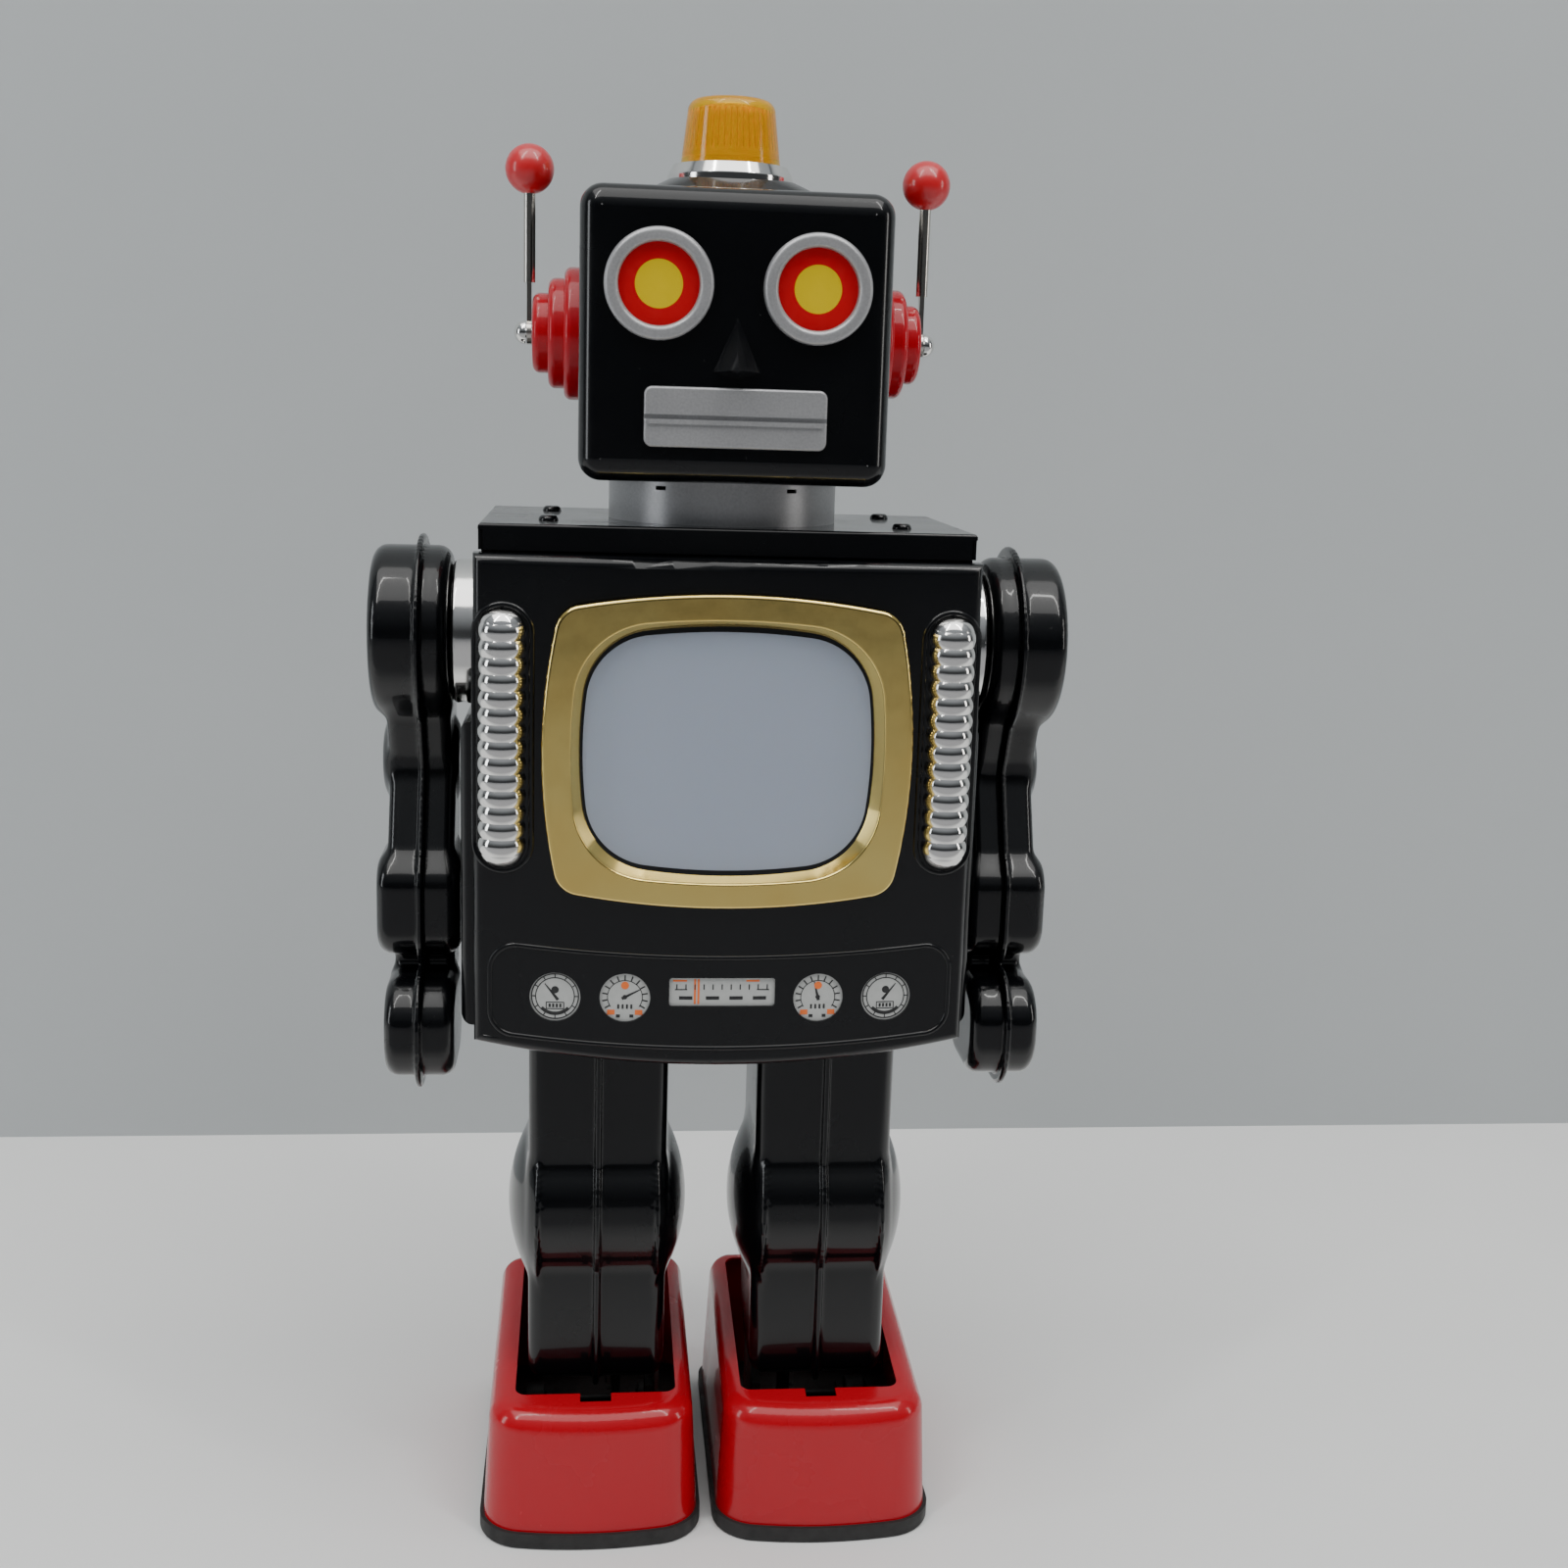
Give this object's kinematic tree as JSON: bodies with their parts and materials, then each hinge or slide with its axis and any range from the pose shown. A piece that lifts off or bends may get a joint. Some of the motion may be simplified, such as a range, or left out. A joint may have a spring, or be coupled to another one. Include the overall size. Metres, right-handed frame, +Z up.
{
  "type": "battery-driven tin toy robot",
  "caption": "Upright toy robot of pressed tin: box head with lamp and aerials, torso with a television screen and dials, swinging arms, stepping legs and block feet.",
  "frame": {"origin": "on the floor, midway between the feet, at the centre of the object's bounding box in plan", "axes": "+X to the robot's own left, -Y to its front, +Z up"},
  "size_m": [0.1812, 0.097, 0.379],
  "materials": {
    "black_enamel": "gloss",
    "red_enamel": "gloss",
    "silver_paint": "satin",
    "printed_tin": "satin",
    "printed_card": "satin",
    "chrome": "polished",
    "gilt": "polished",
    "opal_plastic": "gloss",
    "amber_plastic": "gloss, clear",
    "bulb_glass": "clear",
    "bulb_brass": "satin",
    "bright_steel": "satin",
    "motor_can": "satin",
    "gear_nylon": "satin",
    "clear_drum": "translucent",
    "black_moulding": "satin",
    "cell_wrap": "satin",
    "nickel": "bright",
    "red_plastic": "gloss",
    "roller_rubber": "matt"
  },
  "bodies": {
    "chassis": {"head_shell": "black_enamel", "head_back": "black_enamel", "head_cap": "black_enamel", "torso_lid": "black_enamel", "torso_shell": "black_enamel", "front_panel": "black_enamel", "side_covers": "black_enamel", "ears": "red_enamel", "eye_rings": "silver_paint", "mouth_plate": "silver_paint", "neck_collar": "silver_paint", "eye_discs": "printed_tin", "dial_card": "printed_card", "lamp_ring": "chrome", "chrome_bars": "chrome", "shoulder_discs": "chrome", "tv_bezel": "gilt", "tv_screen": "opal_plastic", "lamp_lens": "amber_plastic", "bulbs": "bulb_glass", "bulb_holders": "bulb_brass", "gearbox_frame": "bright_steel", "torso_floor": "bright_steel", "screws": "bright_steel", "motor": "motor_can", "battery_box": "black_moulding", "battery_cells": "cell_wrap"},
    "left_leg": {"left_leg_outer": "black_enamel", "left_leg_inner": "black_enamel", "left_leg_irons": "bright_steel"},
    "left_foot": {"left_foot_shell": "red_enamel", "left_foot_sole": "black_moulding"},
    "left_rollers": {"left_foot_rollers": "roller_rubber"},
    "left_foot_rod": {"left_foot_link": "bright_steel"},
    "left_arm": {"left_arm_outer": "black_enamel", "left_arm_inner": "black_enamel", "left_arm_shaft": "bright_steel"},
    "left_arm_rod": {"left_arm_link": "bright_steel"},
    "left_aerial": {"left_aerial_rod": "nickel", "left_aerial_ball": "red_plastic"},
    "right_leg": {"right_leg_outer": "black_enamel", "right_leg_inner": "black_enamel", "right_leg_irons": "bright_steel"},
    "right_foot": {"right_foot_shell": "red_enamel", "right_foot_sole": "black_moulding"},
    "right_rollers": {"right_foot_rollers": "roller_rubber"},
    "right_foot_rod": {"right_foot_link": "bright_steel"},
    "right_arm": {"right_arm_outer": "black_enamel", "right_arm_inner": "black_enamel", "right_arm_shaft": "bright_steel"},
    "right_arm_rod": {"right_arm_link": "bright_steel"},
    "right_aerial": {"right_aerial_rod": "nickel", "right_aerial_ball": "red_plastic"},
    "rotor": {"motor_pinion": "gear_nylon"},
    "layshaft_body": {"layshaft": "gear_nylon"},
    "idler": {"idler_gear": "gear_nylon"},
    "crank": {"crankshaft": "bright_steel"},
    "drum": {"picture_drum": "clear_drum"},
    "door": {"battery_door": "black_moulding"},
    "switch": {"switch_knob": "black_moulding"}
  },
  "joints": [
    {"name": "left_leg_swing", "type": "hinge", "parent": "chassis", "child": "left_leg", "pos_m": [0.0308, 0, 0.152], "axis": [1, 0, 0], "range_deg": [-12, 12]},
    {"name": "left_ankle", "type": "hinge", "parent": "left_leg", "child": "left_foot", "pos_m": [0.0308, 0, 0.021], "axis": [1, 0, 0], "range_deg": [-12, 12]},
    {"name": "left_foot_rod_swing", "type": "hinge", "parent": "chassis", "child": "left_foot_rod", "pos_m": [0.0308, 0.009, 0.152], "axis": [1, 0, 0], "range_deg": [-12, 12]},
    {"name": "left_arm_swing", "type": "hinge", "parent": "chassis", "child": "left_arm", "pos_m": [0.078, 0, 0.243], "axis": [1, 0, 0], "range_deg": [-12, 12]},
    {"name": "left_arm_rod_swing", "type": "hinge", "parent": "left_leg", "child": "left_arm_rod", "pos_m": [0.0516, 0.008, 0.152], "axis": [1, 0, 0], "range_deg": [-12, 12]},
    {"name": "left_roller_spin", "type": "hinge", "parent": "left_foot", "child": "left_rollers", "pos_m": [0.0319, 0.026, 0.00525], "axis": [1, 0, 0], "continuous": true},
    {"name": "left_aerial_tilt", "type": "hinge", "parent": "chassis", "child": "left_aerial", "pos_m": [0.04995, -0.002, 0.3203], "axis": [1, 0, 0], "range_deg": [-110, 110]},
    {"name": "right_leg_swing", "type": "hinge", "parent": "chassis", "child": "right_leg", "pos_m": [-0.0308, 0, 0.152], "axis": [1, 0, 0], "range_deg": [-12, 12]},
    {"name": "right_ankle", "type": "hinge", "parent": "right_leg", "child": "right_foot", "pos_m": [-0.0308, 0, 0.021], "axis": [1, 0, 0], "range_deg": [-12, 12]},
    {"name": "right_foot_rod_swing", "type": "hinge", "parent": "chassis", "child": "right_foot_rod", "pos_m": [-0.0308, 0.009, 0.152], "axis": [1, 0, 0], "range_deg": [-12, 12]},
    {"name": "right_arm_swing", "type": "hinge", "parent": "chassis", "child": "right_arm", "pos_m": [-0.078, 0, 0.243], "axis": [1, 0, 0], "range_deg": [-12, 12]},
    {"name": "right_arm_rod_swing", "type": "hinge", "parent": "right_leg", "child": "right_arm_rod", "pos_m": [-0.0516, 0.008, 0.152], "axis": [1, 0, 0], "range_deg": [-12, 12]},
    {"name": "right_roller_spin", "type": "hinge", "parent": "right_foot", "child": "right_rollers", "pos_m": [-0.0319, 0.026, 0.00525], "axis": [1, 0, 0], "continuous": true},
    {"name": "right_aerial_tilt", "type": "hinge", "parent": "chassis", "child": "right_aerial", "pos_m": [-0.04995, -0.002, 0.3203], "axis": [1, 0, 0], "range_deg": [-110, 110]},
    {"name": "crank_turn", "type": "hinge", "parent": "chassis", "child": "crank", "pos_m": [0, 0, 0.178], "axis": [1, 0, 0], "continuous": true},
    {"name": "layshaft_turn", "type": "hinge", "parent": "chassis", "child": "layshaft_body", "pos_m": [0, 0.01125, 0.1946], "axis": [1, 0, 0], "continuous": true},
    {"name": "motor_turn", "type": "hinge", "parent": "chassis", "child": "rotor", "pos_m": [0, 0.025, 0.188], "axis": [1, 0, 0], "continuous": true},
    {"name": "idler_turn", "type": "hinge", "parent": "chassis", "child": "idler", "pos_m": [0, 0.00609, 0.20702], "axis": [1, 0, 0], "continuous": true},
    {"name": "drum_turn", "type": "hinge", "parent": "chassis", "child": "drum", "pos_m": [0, -0.014, 0.2195], "axis": [1, 0, 0], "continuous": true},
    {"name": "battery_door_hinge", "type": "hinge", "parent": "chassis", "child": "door", "pos_m": [0, 0.0382, 0.209], "axis": [1, 0, 0], "range_deg": [-110, 0]},
    {"name": "switch_slide", "type": "slide", "parent": "chassis", "child": "switch", "axis": [1, 0, 0], "range_m": [0, 0.006]}
  ],
  "couplings": [
    {"joint": "right_leg_swing", "follows": "left_leg_swing", "ratio": -1},
    {"joint": "left_ankle", "follows": "left_leg_swing", "ratio": -1},
    {"joint": "right_ankle", "follows": "left_leg_swing", "ratio": 1},
    {"joint": "left_foot_rod_swing", "follows": "left_leg_swing", "ratio": 1},
    {"joint": "right_foot_rod_swing", "follows": "left_leg_swing", "ratio": -1},
    {"joint": "left_arm_swing", "follows": "left_leg_swing", "ratio": -1},
    {"joint": "right_arm_swing", "follows": "left_leg_swing", "ratio": 1},
    {"joint": "left_arm_rod_swing", "follows": "left_leg_swing", "ratio": -1},
    {"joint": "right_arm_rod_swing", "follows": "left_leg_swing", "ratio": 1},
    {"joint": "layshaft_turn", "follows": "crank_turn", "ratio": -5.6},
    {"joint": "motor_turn", "follows": "crank_turn", "ratio": 22.4},
    {"joint": "idler_turn", "follows": "crank_turn", "ratio": 3.2},
    {"joint": "drum_turn", "follows": "crank_turn", "ratio": -1.792}
  ]
}
